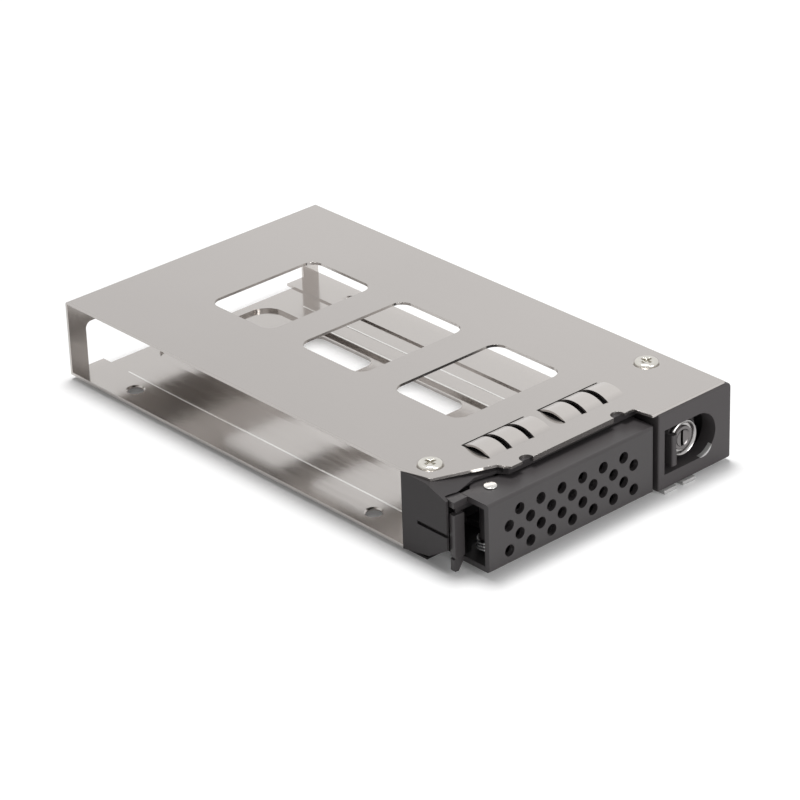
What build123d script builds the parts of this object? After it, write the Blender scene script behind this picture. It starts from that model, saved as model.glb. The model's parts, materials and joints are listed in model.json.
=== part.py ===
from build123d import *
import os

# Removable tray of a mobile rack for 2.5 inch drives: a steel sheet folded from the
# floor over the rear to the top, open at both sides, with a black plastic front that
# holds a swinging perforated handle and a sliding latch with a key lock.
# Millimetres, +Z up, front towards -Y. The origin is the centre of the four
# drive screw holes, in the plane that the drive sits on.

# Drive interface
hole_spacing_x = 61.72
hole_spacing_y = 76.6
drive_hole_radius = 1.7
drive_sink_radius = 2.1
drive_sink_depth = 0.3
drive_hole_to_end = 14.0
connector_margin = 2.8

# Steel cage
sheet = 0.6
cage_width = 71.0
bay_height = 16.4
bay_length = 107.1
bend_radius = 0.8
rail_width = 9.0
pan_drop = 0.4
pan_rear_notch = 2.0
panel_half_width = 17.0
panel_drop = 0.7
panel_rear_margin = 4.5
panel_front_margin = 3.0
panel_corner = 5.0
step_lap = 0.3
window_width = 29.7
window_shift = 0.75
window_pitch = bay_length * 0.27078
window_length = window_pitch * 0.6862
window_count = 3
window_corner = 3.0
window_rear_margin = bay_length * 0.21195
rear_strip = 4.5
rear_opening_height = 10.5
rear_opening_corner = 1.5
tongue_half_width = 13.0
tongue_reach = 10.0

# Front edge of the top plate
edge_reach = 14.9
notch_radius = 1.5
notch_inset = 0.4
lip_drop = 1.1
lip_left_margin = 6.0
lip_right_margin = 7.6
corner_reach = 7.3
corner_inset = 1.1
diagonal_end_reach = 12.3
shoulder_run = 1.4
shoulder_lap = 0.5
step_left_lap = 1.4
step_back_lap = 2.1
plate_inset = 0.4

# Spring fingers in the top plate
finger_count = 3
finger_slot = 1.4
finger_gap = 0.3
finger_length = 7.8
finger_rise = 1.15
finger_sheet = 0.45
finger_front_reach = 9.3
finger_group_lap = 0.8

# Front frame
front_depth = 20.0
frame_wall = 1.3
side_wall = 2.1
cheek_wall = 1.2
cheek_front = 12.8
cheek_drop = 0.95
cheek_lift = 0.4
cheek_cut_length = 5.2
cheek_cut_height = 3.2
cheek_round = 1.0
cheek_groove = 0.8
groove_z = 6.8
groove_length = 8.4
groove_depth = 0.6
deck_wall = 1.45
ledge_reach = 12.4
ledge_left_inset = 2.0
ledge_right_inset = 9.1
ledge_right_reach = 11.2
pocket_floor = 0.5
pocket_floor_reach = 5.6
pocket_floor_gap = 2.3
pocket_floor_inset = 6.5
pocket_lintel = 2.8
base_top = 0.3
front_wall_reach = 10.5
front_wall = 1.2
pocket_reach = 5.8
vent_height = 8.0
vent_bar = 2.5
bezel_width = 21.2
bezel_overhang = 1.6
bezel_wall = 1.5
bezel_corner = 1.2
bezel_low_corner = 0.5
bezel_step = 3.0
edge_round = 0.4

# Latch recess in the bezel
recess_inset = 1.7
recess_width = 14.9
recess_bottom_z = 2.4
recess_drop = 4.5
recess_collar = 2.2
collar_wall = 0.9

# Handle
handle_gap = 1.3
handle_wall = 1.2
handle_bottom_z = -0.4
handle_clearance = 0.35
handle_depth = 7.6
handle_overhang = 5.8
handle_round = 0.7
ear_radius = 4.0
pivot_inset_x = 10.2
pivot_inset_y = 5.5
pin_radius = 1.1
pin_head_radius = 1.4
pin_head_height = 0.3
clip_radius = 1.9
clip_wall = 0.6
pin_clearance = 0.05
boss_radius = 2.25
vent_hole_radius = 1.25
vent_columns = 13
vent_left_margin = 5.45
vent_right_margin = 5.85
vent_bottom_margin = 3.05
vent_top_margin = 3.7
catch_height = 7.0
catch_margin = 1.2
catch_width = 4.4

# Ejector cam
cam_reach = 9.6
cam_clearance = 0.15
cam_plate_width = 2.6
cam_plate_wall = 1.6
cam_plate_bottom_z = 2.3
cam_plate_drop = 2.9
cam_web = 1.4
cam_web_front = 0.2
cam_web_depth = 3.4
cam_gap = 0.05
foot_bottom_z = -0.95
foot_wall = 1.2

# Torsion spring on the pivot
torsion_wire = 0.6
torsion_turns = 3
torsion_clearance = 0.25
torsion_leg = 3.2

# Latch slider and lock
latch_travel = 3.0
slide_clearance = 0.2
slider_wall = 1.6
ridge_wall = 0.7
ridge_offset = 2.3
ridge_lip = 1.5
ridge_lip_wall = 1.3
ridge_below = 4.1
ridge_height = 7.0
tongue_width = 6.0
tongue_wall = 1.2
tongue_gap = 0.3
lock_inset = 7.3
lock_boss_radius = 4.5
lock_radius = 4.1
lock_ring_wall = 1.0
lock_setback = 1.6
lock_length = 11.0
lock_body_radius = 3.9
plug_clearance = 0.05
plug_radius = 2.6
keyway_width = 0.7
keyway_height = 3.6
keyway_depth = 3.0
nut_radius = 4.8
nut_height = 1.6
cam_arm_length = 5.0
cam_arm_width = 4.4
cam_arm_wall = 1.2
cam_screw_radius = 1.6
cam_screw_height = 0.7
spring_coil_radius = 1.05
spring_wire = 0.35
spring_turns = 7
spring_z = 2.0
spring_setback = 3.6
lug_wall = 1.2
lug_height = 2.9
stop_wall = 1.7

# Light pipes
pipe_width = 3.7
pipe_height = 0.85
pipe_pitch = 5.4
pipe_inset = 3.0
pipe_length = 12.0
pipe_proud = 0.6
status_width = 0.5
status_depth = 1.0
status_proud = 0.1
status_start = -84.0
status_end = -38.0

# Screws
screw_left_inset = 5.2
screw_left_reach = 2.9
screw_right_inset = 5.0
screw_right_reach = 2.5
screw_head_radius = 2.5
screw_head_height = 0.8
screw_sink = 0.3
screw_dish_radius = 2.95
screw_radius = 1.4
screw_length = 6.5
screw_boss_radius = 2.6
screw_boss_height = 7.0
screw_hole_gap = 0.05
base_screw_x = 8.5
base_screw_reach = 5.4
base_screw_head_radius = 2.2
base_screw_length = 4.2
base_boss_height = 3.6
cross_width = 0.75
cross_length = 2.7
cross_depth = 0.7

# Places worked out from the sizes
half_width = cage_width / 2
rear_y = hole_spacing_y / 2 + drive_hole_to_end + connector_margin
frame_y = rear_y - bay_length
bezel_y = frame_y - front_depth
top_z = bay_height + sheet
ground_z = -sheet - pan_drop - panel_drop
bezel_bottom_z = ground_z + pipe_height
pan_half_width = half_width - rail_width
bezel_right_x = half_width + bezel_overhang
bezel_left_x = bezel_right_x - bezel_width
bezel_back_y = bezel_y + bezel_wall
front_wall_y = frame_y - front_wall_reach
deck_bottom_z = bay_height - deck_wall
pivot_x = -half_width + pivot_inset_x
pivot_y = bezel_y + pivot_inset_y
pocket_right_x = pivot_x + pocket_reach
shoulder_x = pocket_right_x - shoulder_lap
diagonal_end_x = shoulder_x - shoulder_run
lip_left = shoulder_x + lip_left_margin
lip_right = bezel_left_x - lip_right_margin
finger_group_pitch = (bezel_left_x - shoulder_x) * 0.5767
finger_pitch = finger_group_pitch * 0.2915
vent_centre_x = (pocket_right_x + bezel_left_x) / 2
vent_pitch = (bezel_left_x - pocket_right_x) * 0.46
vent_width = vent_pitch - vent_bar
handle_left_x = pivot_x - handle_overhang
handle_right_x = bezel_left_x - handle_gap
handle_back_y = bezel_y + handle_depth
handle_top_z = deck_bottom_z - handle_clearance
hole_first_x = handle_left_x + vent_left_margin
hole_first_z = handle_bottom_z + vent_bottom_margin
hole_pitch_x = (handle_right_x - vent_right_margin - hole_first_x) / (vent_columns - 1)
hole_pitch_z = (handle_top_z - vent_top_margin - hole_first_z) / 3
cam_plate_top_z = handle_top_z - cam_plate_drop
recess_left_x = bezel_left_x + recess_inset
recess_right_x = recess_left_x + recess_width
recess_top_z = top_z - recess_drop
lock_x = recess_left_x + lock_inset
lock_z = (recess_bottom_z + recess_top_z) / 2
top_screws = [(screw_left_inset - half_width, screw_left_reach),
              (half_width - screw_right_inset, screw_right_reach)]
block_left_x = bezel_left_x + frame_wall
block_right_x = half_width - side_wall
collar_back_y = bezel_back_y + recess_collar
slider_front_y = collar_back_y + slide_clearance
slider_back_y = slider_front_y + slider_wall
slider_left_x = block_left_x + slide_clearance
slider_right_x = block_right_x - slide_clearance - latch_travel
lock_front_y = bezel_y + lock_setback
lock_back_y = lock_front_y + lock_length
plate_front_y = bezel_y + plate_inset


def block(x0, x1, y0, y1, z0, z1):
    """A box between two corners."""
    centre = Pos((x0 + x1) / 2, (y0 + y1) / 2, (z0 + z1) / 2)
    return centre * Box(x1 - x0, y1 - y0, z1 - z0)


def upright(x, y, z0, z1, radius):
    """A cylinder along Z."""
    return Pos(x, y, (z0 + z1) / 2) * Cylinder(radius, z1 - z0)


def along_y(x, z, y0, y1, radius):
    """A cylinder along Y."""
    return Pos(x, (y0 + y1) / 2, z) * Rot(90, 0, 0) * Cylinder(radius, y1 - y0)


def rounded_slab(x0, x1, y0, y1, z0, z1, corner):
    """A plate whose four upright corners are rounded."""
    outline = Pos((x0 + x1) / 2, (y0 + y1) / 2, z0) * RectangleRounded(x1 - x0, y1 - y0, corner)
    return extrude(outline, z1 - z0, dir=(0, 0, 1))


def slab(points, z0, z1):
    """A flat plate from its outline."""
    return extrude(Pos(0, 0, z0) * make_face(Polyline(*points, close=True)), z1 - z0, dir=(0, 0, 1))


def coil(radius, wire, turns, height):
    """A helical spring along Z that starts at the origin."""
    line = Helix(pitch=height / turns, height=height, radius=radius)
    section = Plane(origin=line @ 0, z_dir=line % 0) * Circle(wire / 2)
    return sweep(section, path=line, is_frenet=True)


def cross_recess(z):
    """The cross slot of a screw, cut down from height z."""
    bar = Pos(0, 0, z - cross_depth / 2) * Box(cross_length, cross_width, cross_depth)
    return bar + Rot(0, 0, 90) * bar


def windows(z0, z1):
    """The row of rounded windows, alike in the top plate and the floor."""
    cuts = []
    for index in range(window_count):
        front = rear_y - window_rear_margin - index * window_pitch - window_length
        cuts.append(rounded_slab(window_shift - window_width / 2, window_shift + window_width / 2, front,
                                 front + window_length, z0, z1, window_corner))
    return cuts


def drive_holes():
    """Four drive screw holes, dished on the side that faces the drive."""
    cuts = []
    for x in (-hole_spacing_x / 2, hole_spacing_x / 2):
        for y in (-hole_spacing_y / 2, hole_spacing_y / 2):
            cuts.append(upright(x, y, -2 * sheet, sheet, drive_hole_radius))
            dish = Cone(drive_hole_radius, drive_sink_radius, drive_sink_depth)
            cuts.append(Pos(x, y, -drive_sink_depth / 2) * dish)
    return cuts


def make_floor():
    """The floor: two side rails, a lower pan between them and a lower panel in its middle."""
    panel_rear = rear_y - panel_rear_margin
    panel_front = frame_y + panel_front_margin
    rails = block(-half_width, half_width, frame_y, rear_y, -sheet, 0)
    rails -= block(-pan_half_width, pan_half_width, frame_y - sheet, rear_y + sheet, -2 * sheet, sheet)
    pan_edge = pan_half_width + step_lap
    pan = block(-pan_edge, pan_edge, frame_y, rear_y - pan_rear_notch, -sheet - pan_drop, -pan_drop)
    pan -= rounded_slab(-panel_half_width, panel_half_width, panel_front, panel_rear,
                        ground_z, sheet, panel_corner)
    lap = step_lap
    panel = rounded_slab(-panel_half_width - lap, panel_half_width + lap, panel_front - lap,
                         panel_rear + lap, ground_z, -pan_drop, panel_corner + lap)
    panel -= rounded_slab(-panel_half_width, panel_half_width, panel_front, panel_rear,
                          ground_z + sheet, sheet, panel_corner)
    tongue = block(-tongue_half_width, tongue_half_width, frame_y - tongue_reach,
                   panel_front + panel_corner, ground_z, ground_z + sheet)
    floor = rails + pan + panel + tongue
    for side in (-base_screw_x, base_screw_x):
        sink = Cone(base_screw_head_radius, screw_radius, sheet)
        floor -= Pos(side, frame_y - base_screw_reach, ground_z + sheet / 2) * sink
    return floor


def top_outline():
    """The top plate seen from above, with the two bend notches still uncut."""
    corner_y = frame_y - corner_reach
    edge_y = frame_y - edge_reach
    return [
        (-half_width, rear_y), (half_width, rear_y), (half_width, plate_front_y),
        (bezel_left_x - step_left_lap, plate_front_y), (bezel_left_x - step_back_lap, edge_y),
        (shoulder_x, edge_y),
        (diagonal_end_x, frame_y - diagonal_end_reach), (corner_inset - half_width, corner_y),
        (-half_width, frame_y),
    ]


def finger_fields():
    """The left edge of each group of spring fingers, with the group's width."""
    first = shoulder_x - finger_group_lap
    width = finger_count * finger_pitch - finger_slot + finger_gap
    return [(left, width) for left in (first, first + finger_group_pitch)]


def make_finger(left):
    """One arched spring finger, joined to the plate at its front end."""
    front = frame_y - finger_front_reach
    back = front + finger_length - finger_gap
    root = front - finger_gap
    low = top_z - finger_sheet
    arch = ThreePointArc((root, low), ((front + back) / 2, low + finger_rise), (back, low))
    upper = ThreePointArc((back, top_z), ((front + back) / 2, top_z + finger_rise), (root, top_z))
    sides = [Line((back, low), (back, top_z)), Line((root, top_z), (root, low))]
    profile = make_face([arch, sides[0], upper, sides[1]])
    placed = Plane(origin=(left + finger_gap, 0, 0), x_dir=(0, 1, 0), z_dir=(1, 0, 0)) * profile
    return extrude(placed, finger_pitch - finger_slot, dir=(1, 0, 0))


def make_top():
    """The top plate with windows, spring fingers, bend notches and a folded front lip."""
    edge_y = frame_y - edge_reach
    plate = slab(top_outline(), bay_height, top_z)
    for x in (lip_left - notch_radius, lip_right + notch_radius):
        notch_y = edge_y + notch_inset
        plate -= upright(x, notch_y, bay_height - sheet, top_z + sheet, notch_radius)
        plate -= block(x - notch_radius, x + notch_radius, edge_y - notch_radius, notch_y,
                       bay_height - sheet, top_z + sheet)
    plate += block(lip_left, lip_right, edge_y, edge_y + sheet, top_z - lip_drop, top_z)
    front = frame_y - finger_front_reach
    for left, width in finger_fields():
        plate -= block(left, left + width, front, front + finger_length, bay_height - sheet, top_z + sheet)
    for cut in windows(bay_height - sheet, top_z + sheet):
        plate -= cut
    for left, width in finger_fields():
        for index in range(finger_count):
            plate += make_finger(left + index * finger_pitch)
    for x, reach in top_screws:
        plate -= upright(x, frame_y - reach, bay_height - sheet, top_z + sheet, screw_radius + screw_hole_gap)
        dish = Cone(screw_head_radius, screw_dish_radius, screw_sink)
        plate -= Pos(x, frame_y - reach, top_z - screw_sink / 2) * dish
    return plate


def make_rear():
    """The rear wall, open below its upper band."""
    wall = block(-half_width, half_width, rear_y - sheet, rear_y, -sheet, top_z)
    width = cage_width - 2 * rear_strip
    low = -2 * sheet
    height = rear_opening_height - low
    opening = RectangleRounded(width, height + rear_opening_corner, rear_opening_corner)
    place = Plane(origin=(0, rear_y + sheet, rear_opening_height - (height + rear_opening_corner) / 2),
                  x_dir=(1, 0, 0), z_dir=(0, -1, 0))
    wall -= extrude(place * opening, 3 * sheet, dir=(0, -1, 0))
    return wall


def make_cage():
    """The cage, folded from one sheet: floor, rear and top."""
    cage = make_floor() + make_top() + make_rear()
    for cut in drive_holes() + windows(2 * ground_z, sheet):
        cage -= cut
    rear_edges = cage.edges().filter_by(Axis.X).filter_by(lambda edge: edge.center().Y > rear_y - 0.01)
    return fillet(rear_edges.sort_by(Axis.Z)[-1], bend_radius)


def recess_outline(grow):
    """The latch recess from the front: flat at the left, half round at the right."""
    left = recess_left_x - grow
    bottom = recess_bottom_z - grow
    top = recess_top_z + grow
    radius = (top - bottom) / 2
    middle = recess_right_x + grow - radius
    return make_face([
        Line((left, bottom), (middle, bottom)),
        ThreePointArc((middle, bottom), (middle + radius, bottom + radius), (middle, top)),
        Line((middle, top), (left, top)),
        Line((left, top), (left, bottom)),
    ])


def recess_solid(grow, y0, y1):
    """The recess outline drawn out along Y."""
    place = Plane(origin=(0, y0, 0), x_dir=(1, 0, 0), z_dir=(0, -1, 0))
    return extrude(place * recess_outline(grow), y1 - y0, dir=(0, 1, 0))


def status_sector(y0, y1):
    """The crescent light along the lower right rim of the recess."""
    radius = (recess_top_z - recess_bottom_z) / 2
    centre = (recess_right_x - radius, recess_bottom_z + radius)
    inner = CenterArc(centre, radius, status_start, status_end - status_start)
    middle = CenterArc(centre, radius + status_width, status_start, status_end - status_start) @ 0.5
    face = make_face([inner, ThreePointArc(inner @ 1, middle, inner @ 0)])
    place = Plane(origin=(0, y0, 0), x_dir=(1, 0, 0), z_dir=(0, -1, 0))
    return extrude(place * face, y1 - y0, dir=(0, 1, 0))


def pipe_places():
    """The middle X of each straight light pipe."""
    return [bezel_left_x + pipe_inset, bezel_left_x + pipe_inset + pipe_pitch]


def make_pipe(x):
    """A straight light pipe along the underside of the bezel."""
    return block(x - pipe_width / 2, x + pipe_width / 2, bezel_y - pipe_proud,
                 bezel_y + pipe_length, ground_z, ground_z + pipe_height)


def make_cheek():
    """The left cheek, with its rounded lower corner and its side groove."""
    front = frame_y - cheek_front
    cut_y = front + cheek_cut_length
    outline = make_face(Polyline((frame_y, -cheek_drop), (cut_y, cheek_lift),
                                 (front, cheek_lift + cheek_cut_height), (front, bay_height),
                                 (frame_y, bay_height), close=True))
    outline = fillet(outline.vertices().sort_by_distance((cut_y, cheek_lift, 0))[0], cheek_round)
    place = Plane(origin=(-half_width, 0, 0), x_dir=(0, 1, 0), z_dir=(1, 0, 0))
    cheek = extrude(place * outline, cheek_wall, dir=(1, 0, 0))
    groove = block(-half_width - groove_depth, -half_width + groove_depth, front - 1,
                   front + groove_length, groove_z - cheek_groove / 2, groove_z + cheek_groove / 2)
    return cheek - groove - upright(pivot_x, pivot_y, ground_z, deck_bottom_z, cam_reach + cam_clearance)


def vent_cuts(y0, y1):
    """Two air openings in an upright wall of the frame."""
    middle = (base_top + deck_bottom_z) / 2
    cuts = []
    for x in (vent_centre_x - vent_pitch / 2, vent_centre_x + vent_pitch / 2):
        cuts.append(block(x - vent_width / 2, x + vent_width / 2, y0, y1,
                          middle - vent_height / 2, middle + vent_height / 2))
    return cuts


def make_deck():
    """The upper deck of the frame, set back a little behind the steel edge."""
    edge_y = frame_y - edge_reach + sheet + slide_clearance
    inner_y = frame_y - diagonal_end_reach + slide_clearance
    ledge_y = frame_y - ledge_reach
    points = [
        (-half_width, frame_y), (half_width, frame_y), (half_width, bezel_back_y),
        (bezel_left_x, bezel_back_y), (bezel_left_x, edge_y), (shoulder_x, edge_y),
        (diagonal_end_x, inner_y), (ledge_right_inset - half_width, frame_y - ledge_right_reach),
        (ledge_left_inset - half_width, ledge_y), (-half_width, ledge_y),
    ]
    return slab(points, deck_bottom_z, bay_height)


def make_bezel():
    """The bezel in front of the latch, with a collar round its recess."""
    outline = make_face(Polyline((bezel_left_x, bezel_bottom_z), (bezel_right_x, bezel_bottom_z),
                                 (bezel_right_x, bay_height), (bezel_left_x, bay_height), close=True))
    outline = fillet(outline.vertices().sort_by_distance((bezel_right_x, bay_height, 0))[0], bezel_corner)
    outline = fillet(outline.vertices().sort_by_distance((bezel_right_x, bezel_bottom_z, 0))[0],
                     bezel_low_corner)
    place = Plane(origin=(0, bezel_y, 0), x_dir=(1, 0, 0), z_dir=(0, -1, 0))
    plate = extrude(place * outline, bezel_wall, dir=(0, 1, 0))
    front = [edge for edge in plate.edges() if abs(edge.center().Y - bezel_y) < 0.01]
    plate = fillet(front, edge_round)
    collar = recess_solid(collar_wall, bezel_back_y, collar_back_y)
    bezel = plate + collar - recess_solid(0, bezel_y - 1, collar_back_y + 1)
    return bezel - status_sector(bezel_y - 1, bezel_y + status_depth)


def make_frame():
    """The black front frame: cross wall, decks, cheek, latch block and pivot boss."""
    cross = block(-half_width, half_width, frame_y - frame_wall, frame_y, -sheet, bay_height)
    base = block(pocket_right_x, half_width, bezel_back_y, frame_y, ground_z, base_top)
    base -= block(pocket_right_x, bezel_left_x, bezel_back_y, handle_back_y + slide_clearance,
                  ground_z, base_top)
    base -= block(bezel_left_x, half_width, bezel_y, bezel_back_y + bezel_step, ground_z, bezel_bottom_z)
    base -= block(-tongue_half_width - slide_clearance, tongue_half_width + slide_clearance,
                  frame_y - tongue_reach - slide_clearance, frame_y, ground_z, ground_z + sheet)
    front = block(pocket_right_x, bezel_left_x, front_wall_y - front_wall, front_wall_y,
                  ground_z, bay_height)
    for cut in vent_cuts(front_wall_y - 2 * front_wall, frame_y + frame_wall):
        cross -= cut
        front -= cut
    left = block(bezel_left_x, block_left_x, bezel_back_y, front_wall_y, bezel_bottom_z, bay_height)
    right = block(block_right_x, half_width, bezel_back_y, frame_y, ground_z, bay_height)
    guide_y = slider_back_y + slide_clearance
    upper_guide = block(block_left_x, block_right_x, guide_y, guide_y + frame_wall,
                        lock_z + nut_radius + slide_clearance, bay_height)
    stop = block(block_right_x - stop_wall, block_right_x, slider_back_y + spring_setback - 2,
                 slider_back_y + spring_setback + 2, base_top, spring_z + spring_coil_radius + spring_wire)
    frame = cross + base + front + left + right + make_deck() + make_cheek() + make_bezel()
    frame += upper_guide + stop
    frame += block(cheek_wall - half_width, pocket_right_x + frame_wall, frame_y - pocket_floor_reach,
                   frame_y, ground_z, ground_z + pocket_floor)
    frame += block(pocket_floor_inset - half_width, pocket_right_x + frame_wall, pivot_y + pocket_floor_gap,
                   frame_y, ground_z, ground_z + pocket_floor)
    frame += block(pocket_right_x - pocket_lintel, pocket_right_x + frame_wall, front_wall_y - sheet,
                   front_wall_y, handle_top_z - handle_wall - slide_clearance, bay_height)
    frame += block(cheek_wall - half_width, pocket_right_x, frame_y - frame_wall, frame_y, ground_z, base_top)
    slot_y = slider_front_y - slide_clearance
    frame -= block(bezel_left_x - 1, block_left_x + 1, slot_y, slider_back_y + slide_clearance,
                   lock_z - tongue_width / 2 - slide_clearance, lock_z + tongue_width / 2 + slide_clearance)
    frame += block(pivot_x + pin_radius, pocket_right_x + frame_wall, pivot_y + slide_clearance, front_wall_y,
                   torsion_top_z + slide_clearance, handle_top_z - handle_wall - slide_clearance)
    frame += upright(pivot_x, pivot_y, handle_bottom_z + handle_wall + slide_clearance,
                     handle_top_z - handle_wall - slide_clearance, boss_radius)
    frame -= upright(pivot_x, pivot_y, ground_z, bay_height - deck_wall, pin_radius + pin_clearance)
    for x, reach in top_screws:
        frame += upright(x, frame_y - reach, bay_height - screw_boss_height, bay_height, screw_boss_radius)
        frame -= upright(x, frame_y - reach, bay_height - screw_length, bay_height + 1,
                         screw_radius + screw_hole_gap)
    for x in (-base_screw_x, base_screw_x):
        y = frame_y - base_screw_reach
        frame += upright(x, y, ground_z + sheet, base_boss_height, screw_boss_radius)
        frame -= upright(x, y, ground_z, ground_z + base_screw_length + sheet, screw_radius + screw_hole_gap)
    for x in pipe_places():
        frame -= make_pipe(x)
    return frame


def make_handle():
    """The perforated lever: a channel that is open at its back and its left end."""
    body = block(handle_left_x, handle_right_x, bezel_y, handle_back_y, handle_bottom_z, handle_top_z)
    ears = upright(pivot_x, pivot_y, handle_bottom_z, handle_top_z, ear_radius)
    front_edges = [edge for edge in body.edges() if abs(edge.center().Y - bezel_y) < 0.01
                   and edge.center().X > handle_left_x + 0.01]
    shell = fillet(front_edges, handle_round) + ears
    hollow = block(handle_left_x - 1, handle_right_x - handle_wall, bezel_y + handle_wall,
                   handle_back_y + 2 * ear_radius, handle_bottom_z + handle_wall,
                   handle_top_z - handle_wall)
    handle = shell - hollow
    handle -= block(handle_right_x - 2 * handle_wall, handle_right_x + 1, slider_front_y - catch_margin,
                    slider_front_y - catch_margin + catch_width, lock_z - catch_height / 2,
                    lock_z + catch_height / 2)
    for column in range(vent_columns):
        x = hole_first_x + column * hole_pitch_x
        for row in (column % 2, column % 2 + 2):
            z = hole_first_z + row * hole_pitch_z
            handle -= along_y(x, z, bezel_y - 1, bezel_y + 2 * handle_wall, vent_hole_radius)
    return handle - upright(pivot_x, pivot_y, ground_z, top_z, pin_radius)


def make_cam():
    """The ejector on the handle's left end: cap, upright plate and foot."""
    left = pivot_x - cam_reach
    right = left + cam_plate_width
    back = pivot_y + cam_plate_wall
    plate = block(left, right, pivot_y, back, cam_plate_bottom_z, cam_plate_top_z)
    web_front = pivot_y + cam_web_front
    web = block(left, handle_left_x - cam_gap, web_front, web_front + cam_web_depth,
                handle_top_z - cam_web, handle_top_z)
    rib = block(right - cam_web, right, back - cam_web / 2, back, cam_plate_top_z, handle_top_z - cam_web)
    under = block(right - cam_web, pivot_x - ear_radius + cam_web / 3, back - cam_web / 2, back,
                  cam_plate_top_z, handle_top_z - handle_wall - cam_gap)
    outline = Polyline((right, cam_plate_bottom_z), (right - cam_web, cam_plate_bottom_z),
                       (left, cam_plate_bottom_z - foot_wall / 2), (left, foot_bottom_z + foot_wall / 2),
                       (left + foot_wall / 4, foot_bottom_z), (left + foot_wall, foot_bottom_z),
                       (right, cam_plate_bottom_z - foot_wall), close=True)
    place = Plane(origin=(0, back, 0), x_dir=(1, 0, 0), z_dir=(0, -1, 0))
    foot = extrude(place * make_face(outline), foot_wall, dir=(0, -1, 0))
    return (plate + web + rib + under + foot) & upright(pivot_x, pivot_y, ground_z, top_z, cam_reach)


def make_pin():
    """The pivot pin with its round head."""
    shaft = upright(pivot_x, pivot_y, handle_bottom_z - clip_wall, handle_top_z, pin_radius)
    head = upright(pivot_x, pivot_y, handle_top_z, handle_top_z + pin_head_height, pin_head_radius)
    head = fillet(head.edges().group_by(Axis.Z)[-1], pin_head_height / 2)
    return shaft + head


def make_clip():
    """The push-on washer under the handle that keeps the pin."""
    low = handle_bottom_z - clip_wall
    disc = upright(pivot_x, pivot_y, low, handle_bottom_z, clip_radius)
    return disc - upright(pivot_x, pivot_y, low - 1, handle_bottom_z + 1, pin_radius)


def make_torsion_spring():
    """The coil round the pivot boss that opens the handle, with its two legs."""
    radius = torsion_radius
    leg_radius = torsion_wire * 0.45
    body = Pos(pivot_x, pivot_y, torsion_bottom_z) * coil(radius, torsion_wire, torsion_turns, torsion_height)
    low = along_y(pivot_x + radius, torsion_bottom_z, pivot_y - torsion_leg, pivot_y + torsion_wire / 4,
                  leg_radius)
    high = along_y(pivot_x + radius, torsion_bottom_z + torsion_height, pivot_y - torsion_wire / 4,
                   pivot_y + torsion_leg, leg_radius)
    return body + low + high


def make_slider():
    """The latch slider: guided plate, lock boss, finger ridge, tongue and spring lug."""
    low = base_top + slide_clearance
    high = deck_bottom_z - slide_clearance
    plate = block(slider_left_x, slider_right_x, slider_front_y, slider_back_y, low, high)
    boss = along_y(lock_x, lock_z, lock_front_y + lock_ring_wall, slider_back_y, lock_boss_radius)
    ridge_x = recess_left_x + ridge_offset
    ridge_low = lock_z - ridge_below
    ridge_high = ridge_low + ridge_height
    ridge = block(ridge_x, ridge_x + ridge_wall, bezel_y, slider_front_y, ridge_low, ridge_high)
    ridge += block(ridge_x, ridge_x + ridge_lip, bezel_y, bezel_y + ridge_lip_wall, ridge_low, ridge_high)
    ridge = fillet(ridge.edges().filter_by(Axis.Z).group_by(Axis.Y)[0], edge_round)
    tongue = block(handle_right_x + tongue_gap, slider_left_x, slider_front_y,
                   slider_front_y + tongue_wall, lock_z - tongue_width / 2, lock_z + tongue_width / 2)
    lug = block(spring_left_x - lug_wall, spring_left_x, slider_front_y,
                slider_back_y + spring_setback + spring_coil_radius + spring_wire, low, low + lug_height)
    slider = plate + boss + ridge + tongue + lug
    return slider - along_y(lock_x, lock_z, bezel_y - 1, slider_back_y + 1, lock_body_radius)


def make_latch_spring():
    """The compression spring that pushes the slider back to the left."""
    length = spring_right_x - spring_left_x
    turned = Rot(0, 90, 0) * coil(spring_coil_radius, spring_wire, spring_turns, length - spring_wire)
    return Pos(spring_left_x + spring_wire / 2, slider_back_y + spring_setback, spring_z) * turned


def make_lock_housing():
    """The lock's chromed body with its front ring."""
    ring = along_y(lock_x, lock_z, lock_front_y, lock_front_y + lock_ring_wall, lock_radius)
    ring = fillet(ring.edges().filter_by(GeomType.CIRCLE).group_by(Axis.Y)[0], edge_round)
    body = along_y(lock_x, lock_z, lock_front_y + lock_ring_wall, lock_back_y, lock_body_radius)
    return ring + body - along_y(lock_x, lock_z, bezel_y - 1, lock_back_y + 1, plug_radius + plug_clearance)


def make_key_plug():
    """The turning plug with its keyway."""
    front = lock_front_y + edge_round / 2
    plug = along_y(lock_x, lock_z, front, lock_back_y, plug_radius)
    keyway = block(lock_x - keyway_width / 2, lock_x + keyway_width / 2, bezel_y, front + keyway_depth,
                   lock_z - keyway_height / 2, lock_z + keyway_height / 2)
    return plug - keyway


def make_lock_nut():
    """The ring nut that holds the lock in the slider."""
    nut = along_y(lock_x, lock_z, slider_back_y, slider_back_y + nut_height, nut_radius)
    return nut - along_y(lock_x, lock_z, slider_back_y - 1, lock_back_y, lock_body_radius)


def make_lock_cam():
    """The arm at the back of the plug, pointing down at rest."""
    back = lock_back_y + cam_arm_wall
    arm = along_y(lock_x, lock_z, lock_back_y, back, cam_arm_width / 2)
    tip_z = lock_z - cam_arm_length + cam_arm_width / 2
    arm += along_y(lock_x, tip_z, lock_back_y, back, cam_arm_width / 2)
    arm += block(lock_x - cam_arm_width / 2, lock_x + cam_arm_width / 2, lock_back_y, back, tip_z, lock_z)
    return arm


def make_cam_screw():
    """The screw that holds the arm on the plug."""
    low = lock_back_y + cam_arm_wall
    return along_y(lock_x, lock_z, low, low + cam_screw_height, cam_screw_radius)


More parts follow.
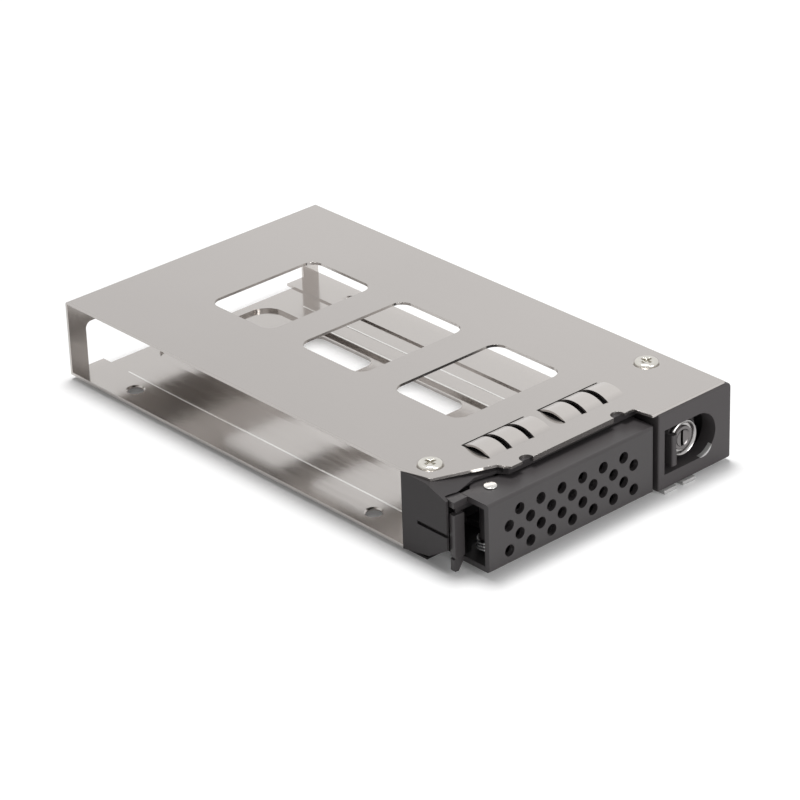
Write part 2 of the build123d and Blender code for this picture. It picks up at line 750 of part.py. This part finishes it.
def make_top_screw(x, reach):
    """A pan head screw with a cross recess, seated on the top plate."""
    head = upright(0, 0, -screw_sink, screw_head_height - screw_sink, screw_head_radius)
    head = fillet(head.edges().group_by(Axis.Z)[-1], screw_head_height * 0.6)
    screw = head + upright(0, 0, -screw_length, -screw_sink, screw_radius)
    screw -= cross_recess(screw_head_height - screw_sink)
    return Pos(x, frame_y - reach, top_z) * screw


def make_base_screw(x):
    """A countersunk screw from below, flush with the steel."""
    head = Pos(0, 0, sheet / 2) * Cone(base_screw_head_radius, screw_radius, sheet)
    recess = Pos(0, 0, cross_depth / 4) * Box(cross_length, cross_width, cross_depth / 2)
    head -= recess + Rot(0, 0, 90) * recess
    screw = head + upright(0, 0, sheet, base_screw_length, screw_radius)
    return Pos(x, frame_y - base_screw_reach, ground_z) * screw


# Values shared by the springs and what holds them
torsion_radius = boss_radius + torsion_clearance + torsion_wire / 2
torsion_height = torsion_turns * (torsion_wire + 0.1)
torsion_bottom_z = handle_bottom_z + handle_wall + torsion_wire
torsion_top_z = torsion_bottom_z + torsion_height + torsion_wire / 2
spring_left_x = slider_left_x + lug_wall + 2
spring_right_x = block_right_x - stop_wall

parts = {
    "tray_cage": make_cage(),
    "front_frame": make_frame(),
    "handle": make_handle(),
    "ejector_cam": make_cam(),
    "pivot_pin": make_pin(),
    "pivot_clip": make_clip(),
    "torsion_spring": make_torsion_spring(),
    "latch_slider": make_slider(),
    "latch_spring": make_latch_spring(),
    "lock_housing": make_lock_housing(),
    "key_plug": make_key_plug(),
    "lock_nut": make_lock_nut(),
    "lock_cam": make_lock_cam(),
    "lock_cam_screw": make_cam_screw(),
    "top_screw_left": make_top_screw(*top_screws[0]),
    "top_screw_right": make_top_screw(*top_screws[1]),
    "base_screw_left": make_base_screw(-base_screw_x),
    "base_screw_right": make_base_screw(base_screw_x),
    "light_pipe_left": make_pipe(pipe_places()[0]),
    "light_pipe_right": make_pipe(pipe_places()[1]),
    "status_light": status_sector(bezel_y - status_proud, bezel_y + status_depth),
}

os.makedirs("parts", exist_ok=True)
for node, shape in parts.items():
    export_step(shape, f"parts/{node}.step")
    print(node, len(shape.solids()), round(shape.volume, 1))
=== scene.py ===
import bpy
import bmesh
import json
import math
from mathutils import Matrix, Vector

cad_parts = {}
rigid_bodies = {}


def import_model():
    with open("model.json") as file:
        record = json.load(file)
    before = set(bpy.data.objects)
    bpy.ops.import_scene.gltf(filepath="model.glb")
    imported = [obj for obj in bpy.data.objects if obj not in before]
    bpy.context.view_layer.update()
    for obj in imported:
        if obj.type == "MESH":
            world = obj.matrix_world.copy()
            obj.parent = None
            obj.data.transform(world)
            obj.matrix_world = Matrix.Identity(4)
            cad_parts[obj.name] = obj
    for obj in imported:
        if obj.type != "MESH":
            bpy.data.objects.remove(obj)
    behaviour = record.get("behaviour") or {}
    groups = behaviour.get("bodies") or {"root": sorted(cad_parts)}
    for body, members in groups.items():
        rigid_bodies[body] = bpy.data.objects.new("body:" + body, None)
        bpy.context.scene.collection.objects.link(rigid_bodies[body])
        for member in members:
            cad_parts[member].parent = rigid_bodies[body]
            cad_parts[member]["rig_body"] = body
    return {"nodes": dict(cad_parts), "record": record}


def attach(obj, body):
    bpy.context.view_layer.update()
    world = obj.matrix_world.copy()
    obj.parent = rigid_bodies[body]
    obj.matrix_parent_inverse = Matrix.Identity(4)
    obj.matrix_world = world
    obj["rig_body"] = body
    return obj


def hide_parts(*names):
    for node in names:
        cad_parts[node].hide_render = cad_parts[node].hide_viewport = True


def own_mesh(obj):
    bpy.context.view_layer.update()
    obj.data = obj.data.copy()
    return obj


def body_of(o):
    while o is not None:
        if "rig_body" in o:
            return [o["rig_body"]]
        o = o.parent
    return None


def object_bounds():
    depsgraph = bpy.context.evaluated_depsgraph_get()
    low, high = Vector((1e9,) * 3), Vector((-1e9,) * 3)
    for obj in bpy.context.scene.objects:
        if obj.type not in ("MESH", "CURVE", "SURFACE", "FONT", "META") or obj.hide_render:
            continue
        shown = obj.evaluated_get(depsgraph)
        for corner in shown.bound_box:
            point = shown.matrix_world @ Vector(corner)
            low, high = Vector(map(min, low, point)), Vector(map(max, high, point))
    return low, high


# Removable drive tray: steel cage, black front with swing handle, sliding latch with key lock.

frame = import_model()
nodes = frame["nodes"]
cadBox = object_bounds()
mm = 0.001
print("frame loaded:", len(nodes), "nodes")


# Materials

noiseSpan = (0.3, 0.7)  # most of a noise's values lie between these
white = (1, 1, 1, 1)


def newMaterial(name):
    made = bpy.data.materials.new(name)
    made.use_nodes = True
    return made, made.node_tree.nodes, made.node_tree.links, made.node_tree.nodes["Principled BSDF"]


def objectNoise(treeNodes, links, scale, detail, stretch=(1, 1, 1)):
    where = treeNodes.new("ShaderNodeTexCoord")
    mapping = treeNodes.new("ShaderNodeMapping")
    mapping.inputs["Scale"].default_value = stretch
    noise = treeNodes.new("ShaderNodeTexNoise")
    noise.inputs["Scale"].default_value = scale
    noise.inputs["Detail"].default_value = detail
    links.new(where.outputs["Object"], mapping.inputs["Vector"])
    links.new(mapping.outputs["Vector"], noise.inputs["Vector"])
    return noise.outputs["Fac"]


def remap(treeNodes, links, value, low, high):
    node = treeNodes.new("ShaderNodeMapRange")
    node.inputs["From Min"].default_value, node.inputs["From Max"].default_value = noiseSpan
    node.inputs["To Min"].default_value = low
    node.inputs["To Max"].default_value = high
    links.new(value, node.inputs["Value"])
    return node.outputs["Result"]


def tint(treeNodes, links, value, first, second):
    mix = treeNodes.new("ShaderNodeMix")
    mix.data_type = "RGBA"
    mix.inputs["A"].default_value = (*first, 1)
    mix.inputs["B"].default_value = (*second, 1)
    links.new(value, mix.inputs["Factor"])
    return mix.outputs["Result"]


def bumpFrom(treeNodes, links, value, strength, distance):
    node = treeNodes.new("ShaderNodeBump")
    node.inputs["Strength"].default_value = strength
    node.inputs["Distance"].default_value = distance
    links.new(value, node.inputs["Height"])
    return node.outputs["Normal"]


# Painted light and shade: the colour gets lighter or darker along an axis
def paintLightAlong(treeNodes, links, color, axis, span, paintedShades):
    where = treeNodes.new("ShaderNodeTexCoord")
    parts = treeNodes.new("ShaderNodeSeparateXYZ")
    ramp = treeNodes.new("ShaderNodeMapRange")
    ramp.inputs["From Min"].default_value = span[0] * mm
    ramp.inputs["From Max"].default_value = span[1] * mm
    ramp.inputs["To Min"].default_value, ramp.inputs["To Max"].default_value = paintedShades
    shaded = treeNodes.new("ShaderNodeVectorMath")
    shaded.operation = "SCALE"
    links.new(where.outputs["Object"], parts.inputs["Vector"])
    links.new(parts.outputs[axis], ramp.inputs["Value"])
    links.new(color, shaded.inputs["Vector"])
    links.new(ramp.outputs["Result"], shaded.inputs["Scale"])
    return shaded.outputs["Vector"]


steelLook = {
    "light": (0.54, 0.512, 0.492),
    "dark": (0.5, 0.474, 0.454),
    "paintedShades": [  # painted light and shade: axis, from and to in millimetres, shades at those two places
        # painted light: lighter low down on the inner floor, darker up at the top
        ("Z", (1, 16), (1.1, 0.94)),
        # painted shade: darker towards the left, lighter towards the right
        ("X", (-34, 34), (0.94, 1.03)),
        # painted highlight: the louvre fingers above the top are lighter
        ("Z", (17.1, 17.7), (1.0, 1.18)),
    ],
    "metallic": 0.9,
    "patchScale": 22.0,
    "patchDetail": 4.0,
    "roughness": (0.12, 0.17),
    "grainScale": 900.0,
    "grainDetail": 2.0,
    "grainStretch": (1.0, 0.04, 1.0),
    "grainBump": 0.03,
    "grainDepth": 0.00005,
}


def makeSteel():
    made, treeNodes, links, shader = newMaterial("rolledStainless")
    look = steelLook
    patches = objectNoise(treeNodes, links, look["patchScale"], look["patchDetail"])
    grain = objectNoise(treeNodes, links, look["grainScale"], look["grainDetail"],
                        look["grainStretch"])
    shader.inputs["Metallic"].default_value = look["metallic"]
    color = tint(treeNodes, links, patches, look["dark"], look["light"])
    # painted light and shade along the axes given in the look
    for axis, span, paintedShades in look["paintedShades"]:
        color = paintLightAlong(treeNodes, links, color, axis, span, paintedShades)
    rough = remap(treeNodes, links, grain, *look["roughness"])
    bump = bumpFrom(treeNodes, links, grain, look["grainBump"], look["grainDepth"])
    links.new(color, shader.inputs["Base Color"])
    links.new(rough, shader.inputs["Roughness"])
    links.new(bump, shader.inputs["Normal"])
    return made


plasticLook = {
    "frame": {"color": (0.042, 0.0385, 0.0395), "worn": (0.05, 0.046, 0.047),
              "roughness": (0.4, 0.5), "gloss": 0.15,
              # painted light: the bezel's front is lighter than the cheek and the parts behind it
              "paintedShades": ("Y", (-71.5, -67.5), (1.65, 1.0))},
    "handle": {"color": (0.046, 0.042, 0.043), "worn": (0.056, 0.051, 0.052),
               "roughness": (0.3, 0.4), "gloss": 0.34},
    "patchScale": 60.0,
    "patchDetail": 4.0,
    "grainScale": 2600.0,
    "grainDetail": 2.0,
    "grainBump": 0.14,
    "grainDepth": 0.00004,
}


def makePlastic(name, which):
    made, treeNodes, links, shader = newMaterial(name)
    look = plasticLook[which]
    patches = objectNoise(treeNodes, links, plasticLook["patchScale"], plasticLook["patchDetail"])
    grain = objectNoise(treeNodes, links, plasticLook["grainScale"], plasticLook["grainDetail"])
    shader.inputs["Specular IOR Level"].default_value = look["gloss"]
    color = tint(treeNodes, links, patches, look["color"], look["worn"])
    # painted light along an axis, where the look has it
    if "paintedShades" in look:
        color = paintLightAlong(treeNodes, links, color, *look["paintedShades"])
    rough = remap(treeNodes, links, patches, *look["roughness"])
    bump = bumpFrom(treeNodes, links, grain, plasticLook["grainBump"], plasticLook["grainDepth"])
    links.new(color, shader.inputs["Base Color"])
    links.new(rough, shader.inputs["Roughness"])
    links.new(bump, shader.inputs["Normal"])
    return made


metalLook = {  # the lock's core has a painted dark reflection within a radius of its axis, given as x and z
    "brightSteel": {"light": (0.84, 0.83, 0.81), "dark": (0.74, 0.73, 0.71),
                    # painted light: full brightness low down, where the fold beads stand for
                    # highlight lines, darker higher up on the pin head
                    "roughness": (0.16, 0.24), "paintedShades": ("Z", (1, 12), (1.0, 0.72))},
    "springWire": {"light": (0.55, 0.55, 0.55), "dark": (0.42, 0.42, 0.42),
                   "roughness": (0.25, 0.35)},
    "lockChrome": {"light": (0.47, 0.455, 0.45), "dark": (0.35, 0.34, 0.335),
                   "roughness": (0.14, 0.24), "paintedDarkCore": (0.17, 0.16, 0.16),
                   "axis": (24.9, 7.45), "paintedDarkCoreRadius": 2.62},
    "screwNickel": {"light": (0.7, 0.68, 0.63), "dark": (0.58, 0.56, 0.52),
                    "roughness": (0.16, 0.26)},
    "patchScale": 700.0,
    "patchDetail": 3.0,
    "bump": 0.05,
    "bumpDepth": 0.00003,
}


# 1 within a radius of an axis along Y, else 0
def insideAxis(treeNodes, links, center, radius):
    where = treeNodes.new("ShaderNodeTexCoord")
    offset = treeNodes.new("ShaderNodeVectorMath")
    offset.operation = "SUBTRACT"
    offset.inputs[1].default_value = (center[0] * mm, 0, center[1] * mm)
    flat = treeNodes.new("ShaderNodeVectorMath")
    flat.operation = "MULTIPLY"
    flat.inputs[1].default_value = (1, 0, 1)
    reach = treeNodes.new("ShaderNodeVectorMath")
    reach.operation = "LENGTH"
    inside = treeNodes.new("ShaderNodeMath")
    inside.operation = "LESS_THAN"
    inside.inputs[1].default_value = radius * mm
    links.new(where.outputs["Object"], offset.inputs[0])
    links.new(offset.outputs["Vector"], flat.inputs[0])
    links.new(flat.outputs["Vector"], reach.inputs[0])
    links.new(reach.outputs["Value"], inside.inputs[0])
    return inside.outputs[0]


def makeMetal(name):
    made, treeNodes, links, shader = newMaterial(name)
    look = metalLook[name]
    patches = objectNoise(treeNodes, links, metalLook["patchScale"], metalLook["patchDetail"])
    shader.inputs["Metallic"].default_value = 1.0
    color = tint(treeNodes, links, patches, look["dark"], look["light"])
    # Painted dark reflection on the lock's plug, where the chrome would mirror the dark recess
    if "paintedDarkCore" in look:
        mix = treeNodes.new("ShaderNodeMix")
        mix.data_type = "RGBA"
        inside = insideAxis(treeNodes, links, look["axis"], look["paintedDarkCoreRadius"])
        links.new(inside, mix.inputs["Factor"])
        links.new(color, mix.inputs["A"])
        mix.inputs["B"].default_value = (*look["paintedDarkCore"], 1)
        color = mix.outputs["Result"]
    # painted light along an axis, where the look has it
    if "paintedShades" in look:
        color = paintLightAlong(treeNodes, links, color, *look["paintedShades"])
    rough = remap(treeNodes, links, patches, *look["roughness"])
    bump = bumpFrom(treeNodes, links, patches, metalLook["bump"], metalLook["bumpDepth"])
    links.new(color, shader.inputs["Base Color"])
    links.new(rough, shader.inputs["Roughness"])
    links.new(bump, shader.inputs["Normal"])
    return made


pipeLook = {
    "dark": (0.48, 0.475, 0.47),
    "light": (0.57, 0.565, 0.56),
    "patchScale": 500.0,
    "patchDetail": 3.0,
    "roughness": (0.18, 0.3),
    "milk": 0.35,
    "milkRadius": (0.002, 0.002, 0.002),
    "milkScale": 0.5,
}


def makeLightPipe():
    made, treeNodes, links, shader = newMaterial("milkyPipe")
    look = pipeLook
    patches = objectNoise(treeNodes, links, look["patchScale"], look["patchDetail"])
    color = tint(treeNodes, links, patches, look["dark"], look["light"])
    rough = remap(treeNodes, links, patches, *look["roughness"])
    links.new(color, shader.inputs["Base Color"])
    links.new(rough, shader.inputs["Roughness"])
    shader.inputs["Subsurface Weight"].default_value = look["milk"]
    shader.inputs["Subsurface Radius"].default_value = look["milkRadius"]
    shader.inputs["Subsurface Scale"].default_value = look["milkScale"]
    return made


finishes = {
    "sheet_steel": makeSteel(),
    "black_plastic": makePlastic("framePlastic", "frame"),
    "handle_plastic": makePlastic("handlePlastic", "handle"),
    "bright_steel": makeMetal("brightSteel"),
    "spring_steel": makeMetal("springWire"),
    "lock_chrome": makeMetal("lockChrome"),
    "screw_nickel": makeMetal("screwNickel"),
    "light_pipe": makeLightPipe(),
}
slotOf = {entry["node"]: entry["material_slot"] for entry in frame["record"]["subparts"]}
print("materials:", len(finishes))


# Shared helpers

mergeDistance = 0.000002
edgeBevel = {"segments": 2, "angle": 32, "weight": 100}


# Edges sharper than the angle in degrees stay hard
def finishPiece(name, bm, slotName, body, smoothAngle=35.0):
    mesh = bpy.data.meshes.new(name)
    hard = math.radians(smoothAngle)
    for face in bm.faces:
        face.smooth = True
    for edge in bm.edges:
        edge.smooth = not (len(edge.link_faces) == 2 and edge.calc_face_angle(0) > hard)
    bm.to_mesh(mesh)
    bm.free()
    piece = bpy.data.objects.new(name, mesh)
    bpy.context.scene.collection.objects.link(piece)
    piece.data.materials.append(finishes[slotName])
    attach(piece, body)
    return piece


def addBevel(piece, width):
    bevel = piece.modifiers.new("softEdges", "BEVEL")
    bevel.width = width
    bevel.segments = edgeBevel["segments"]
    bevel.limit_method = "ANGLE"
    bevel.angle_limit = math.radians(edgeBevel["angle"])
    bevel.use_clamp_overlap = True
    weighted = piece.modifiers.new("flatFaces", "WEIGHTED_NORMAL")
    weighted.weight = edgeBevel["weight"]
    weighted.keep_sharp = True


def objectFrom(bm, name):
    mesh = bpy.data.meshes.new(name)
    bm.to_mesh(mesh)
    bm.free()
    made = bpy.data.objects.new(name, mesh)
    bpy.context.scene.collection.objects.link(made)
    return made


# A new bmesh: the first without the second
def subtract(bm, cutterBm):
    base, cutter = objectFrom(bm, "cutBase"), objectFrom(cutterBm, "cutTool")
    cut = base.modifiers.new("cut", "BOOLEAN")
    cut.operation = "DIFFERENCE"
    cut.solver = "EXACT"
    cut.object = cutter
    bpy.context.view_layer.update()
    depsgraph = bpy.context.evaluated_depsgraph_get()
    solved = bpy.data.meshes.new_from_object(base.evaluated_get(depsgraph))
    result = bmesh.new()
    result.from_mesh(solved)
    for helper in (base, cutter):
        bpy.data.objects.remove(helper)
    return result


# CAD pieces with softened edges, bevel width in millimetres

flatAngle = 0.5  # faces that meet flatter than this, in degrees, become one
softPieces = {
    "tray_cage": 0.1,
    "front_frame": 0.12,
    "handle": 0.3,
    "ejector_cam": 0.12,
    "latch_slider": 0.14,
    "pivot_pin": 0.08,
    "lock_nut": 0.1,
    "lock_cam": 0.1,
    "top_screw_left": 0.06,
    "top_screw_right": 0.06,
    "light_pipe_left": 0.12,
    "light_pipe_right": 0.12,
    "status_light": 0.1,
}

cornerSlope = {  # the frame's left front corner falls away in front of the steel edge
    "ends": [(-37.0, -58.85), (-20.6, -62.0)],
    "top": 16.4,
    "clear": 1.0,
    "reach": 9.0,
    "fall": 3.1,
}


def cutCorner(bm):
    reach, top = cornerSlope["reach"], cornerSlope["top"]
    above, below = top + cornerSlope["clear"], top - cornerSlope["fall"]
    cutter = bmesh.new()
    for x, y in cornerSlope["ends"]:
        for step, z in ((0, top), (0, above), (reach, above), (reach, below)):
            cutter.verts.new((x * mm, (y - step) * mm, z * mm))
    bmesh.ops.convex_hull(cutter, input=cutter.verts)
    return subtract(bm, cutter)


def soften(node, width):
    bm = bmesh.new()
    bm.from_mesh(nodes[node].data)
    bmesh.ops.remove_doubles(bm, verts=bm.verts, dist=mergeDistance)
    bmesh.ops.dissolve_limit(bm, angle_limit=math.radians(flatAngle), verts=bm.verts,
                             edges=bm.edges)
    if node == "front_frame":
        bm = cutCorner(bm)
    piece = finishPiece(node + "_soft", bm, slotOf[node], body_of(nodes[node])[0])
    addBevel(piece, width * mm)
    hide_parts(node)


for node, width in softPieces.items():
    soften(node, width)
print("softened pieces:", len(softPieces))


# Fold beads of the cage floor with a painted highlight: their bright steel stands for the highlight
# lines beside its steps

highlightBeads = {
    "lines": {  # x, z, front y, back y
        "bead_panel": (17.3, -0.4, -46.0, 40.0),
        "bead_pan": (21.9, -0.4, -46.0, 44.0),
        "bead_rail": (-26.7, 0.0, -48.0, 46.0),
    },
    "profile": [(-0.28, -0.05), (-0.2, 0.05), (0.2, 0.05), (0.28, -0.05)],
    "smoothAngle": 20,
}


def addHighlightBead(name):
    x, z, front, back = highlightBeads["lines"][name]
    bm = bmesh.new()
    for y in (front, back):
        for across, rise in highlightBeads["profile"]:
            bm.verts.new(((x + across) * mm, y * mm, (z + rise) * mm))
    bmesh.ops.convex_hull(bm, input=bm.verts)
    bmesh.ops.recalc_face_normals(bm, faces=bm.faces)
    # the bright finish is a painted highlight
    finishPiece(name, bm, "bright_steel", body_of(nodes["tray_cage"])[0],
                highlightBeads["smoothAngle"])


for name in highlightBeads["lines"]:
    addHighlightBead(name)
print("fold beads:", len(highlightBeads["lines"]))


# Latch spring, a copy of the CAD spring; the real one is pressed together when the latch slides,
# this copy is not

latchSpring = {
    "fixedEnd": (31.7, -62.9, 2.0),
    "length": 11.1,
    "travel": 3.0,
    "smoothAngle": 50,
}


def addLatchSpring():
    bm = bmesh.new()
    bm.from_mesh(nodes["latch_spring"].data)
    piece = finishPiece("latch_spring_wire", bm, slotOf["latch_spring"],
                        body_of(nodes["latch_spring"])[0], latchSpring["smoothAngle"])
    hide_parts("latch_spring")
    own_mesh(piece)


addLatchSpring()
print("latch spring ready")


# Cylinder lock: ring with a rounded crest, sunk face and dished plug with its keyway

lock = {
    "center": (24.9, 7.45),  # x and z of its axis
    "front": -70.4,
    "ring": [  # radius and depth from the front
        (2.65, 0.75), (3.1, 0.75), (3.22, 0.45), (3.4, 0.12), (3.62, 0.0), (3.86, 0.06),
        (4.02, 0.28), (4.1, 0.6), (4.1, 1.0), (3.9, 1.0), (3.9, 11.0), (2.65, 11.0),
    ],
    "plug": [
        (0.0, 0.55), (1.3, 0.52), (1.75, 0.42), (1.95, 0.22), (2.2, 0.2), (2.5, 0.24),
        (2.6, 0.4), (2.6, 11.0), (0.0, 11.0),
    ],
    "keyway": (0.7, 3.0, 3.6),  # width, depth and height
    "steps": 96,
    "smoothAngle": 40,
}


# A closed profile gives a ring, an open one starts and ends on the axis
def turnedLock(profile, closed):
    centerX, centerZ = lock["center"]
    bm = bmesh.new()
    verts = [bm.verts.new(((centerX + radius) * mm, (lock["front"] + depth) * mm, centerZ * mm))
             for radius, depth in profile]
    pairs = list(zip(verts, verts[1:]))
    if closed:
        pairs.append((verts[-1], verts[0]))
    edges = [bm.edges.new(pair) for pair in pairs]
    bmesh.ops.spin(bm, geom=verts + edges, cent=(centerX * mm, 0, centerZ * mm), axis=(0, 1, 0),
                   dvec=(0, 0, 0), angle=math.radians(360), steps=lock["steps"],
                   use_merge=True, use_duplicate=False)
    bmesh.ops.remove_doubles(bm, verts=bm.verts, dist=mergeDistance)
    bmesh.ops.recalc_face_normals(bm, faces=bm.faces)
    return bm


def cutKeyway(bm):
    width, depth, height = lock["keyway"]
    centerX, centerZ = lock["center"]
    cutter = bmesh.new()
    bmesh.ops.create_cube(cutter, size=1.0)
    bmesh.ops.scale(cutter, vec=(width * mm, 2 * depth * mm, height * mm), verts=cutter.verts)
    bmesh.ops.translate(cutter, vec=(centerX * mm, lock["front"] * mm, centerZ * mm),
                        verts=cutter.verts)
    return subtract(bm, cutter)


ring = finishPiece("lock_ring", turnedLock(lock["ring"], True), "lock_chrome",
                   body_of(nodes["lock_housing"])[0], lock["smoothAngle"])
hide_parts("lock_housing")
plug = finishPiece("lock_plug", cutKeyway(turnedLock(lock["plug"], False)), "lock_chrome",
                   body_of(nodes["key_plug"])[0], lock["smoothAngle"])
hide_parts("key_plug")
print("lock ready")


# The other CAD pieces keep their shape and get a finish

redrawn = [*softPieces, "lock_housing", "key_plug", "latch_spring"]
for node in nodes:
    if node not in redrawn:
        nodes[node].data.materials.clear()
        nodes[node].data.materials.append(finishes[slotOf[node]])
print("plain pieces:", len(nodes) - len(redrawn))


# Floor, light and camera

studio = {
    "floorSize": 1.6,
    "floorColor": (0.94, 0.94, 0.94),
    "floorRoughness": 0.7,
    "floorGloss": 0.1,
    "floorGlow": 0.08,
    "worldLight": 0.22,
    "topLight": {"spot": (0.08, 0.12, 0.96), "size": 0.32, "power": 7.6},
    "frontLight": {"spot": (0.1, -0.92, 0.34), "size": 0.45, "power": 3.6},
}


# Camera, glossy and transmission rays see the backdrop
def backdropRays(treeNodes, links):
    path = treeNodes.new("ShaderNodeLightPath")
    value = path.outputs["Is Camera Ray"]
    for rayName in ("Is Glossy Ray", "Is Transmission Ray"):
        either = treeNodes.new("ShaderNodeMath")
        either.operation = "MAXIMUM"
        links.new(value, either.inputs[0])
        links.new(path.outputs[rayName], either.inputs[1])
        value = either.outputs[0]
    return value


def makeFloor():
    bm = bmesh.new()
    bmesh.ops.create_grid(bm, x_segments=1, y_segments=1, size=studio["floorSize"])
    mesh = bpy.data.meshes.new("studioFloor")
    bm.to_mesh(mesh)
    bm.free()
    floor = bpy.data.objects.new("studioFloor", mesh)
    floor.location.z = cadBox[0][2]
    bpy.context.scene.collection.objects.link(floor)
    made, treeNodes, links, shader = newMaterial("paleFloor")
    shader.inputs["Base Color"].default_value = (*studio["floorColor"], 1)
    shader.inputs["Roughness"].default_value = studio["floorRoughness"]
    shader.inputs["Specular IOR Level"].default_value = studio["floorGloss"]
    glow = treeNodes.new("ShaderNodeEmission")
    glow.inputs["Color"].default_value = white
    strength = treeNodes.new("ShaderNodeMath")
    strength.operation = "MULTIPLY"
    strength.inputs[1].default_value = studio["floorGlow"]
    links.new(backdropRays(treeNodes, links), strength.inputs[0])
    links.new(strength.outputs[0], glow.inputs["Strength"])
    both = treeNodes.new("ShaderNodeAddShader")
    links.new(shader.outputs["BSDF"], both.inputs[0])
    links.new(glow.outputs["Emission"], both.inputs[1])
    links.new(both.outputs[0], treeNodes["Material Output"].inputs["Surface"])
    floor.data.materials.append(made)


def makeWorld():
    world = bpy.data.worlds.new("studioWorld")
    bpy.context.scene.world = world
    world.use_nodes = True
    treeNodes, links = world.node_tree.nodes, world.node_tree.links
    back = treeNodes["Background"]
    back.inputs["Color"].default_value = white
    blend = treeNodes.new("ShaderNodeMapRange")
    blend.inputs["To Min"].default_value = studio["worldLight"]
    blend.inputs["To Max"].default_value = 1.0
    links.new(backdropRays(treeNodes, links), blend.inputs["Value"])
    links.new(blend.outputs["Result"], back.inputs["Strength"])


def addLight(name):
    look = studio[name]
    lamp = bpy.data.lights.new(name, "AREA")
    lamp.energy = look["power"]
    lamp.size = look["size"]
    holder = bpy.data.objects.new(name, lamp)
    holder.location = look["spot"]
    aim = Vector((0, 0, 0)) - holder.location
    holder.rotation_euler = aim.to_track_quat("-Z", "Y").to_euler()
    bpy.context.scene.collection.objects.link(holder)


cameraView = {
    "spot": (-0.4165, -0.4833, 0.3297),
    "turn": (62.722, 1.832, -42.126),
    "lens": 151.9,
    "shift": (0.0206, -0.0066),
    "clipStart": 0.01,
}


def addCamera():
    lens = bpy.data.cameras.new("photoCamera")
    lens.lens = cameraView["lens"]
    lens.shift_x, lens.shift_y = cameraView["shift"]
    lens.clip_start = cameraView["clipStart"]
    holder = bpy.data.objects.new("photoCamera", lens)
    holder.location = cameraView["spot"]
    holder.rotation_euler = [math.radians(angle) for angle in cameraView["turn"]]
    bpy.context.scene.collection.objects.link(holder)
    bpy.context.scene.camera = holder


makeFloor()
makeWorld()
for lightName in ("topLight", "frontLight"):
    addLight(lightName)
addCamera()
bpy.context.scene.view_settings.view_transform = "Standard"
print("studio ready")
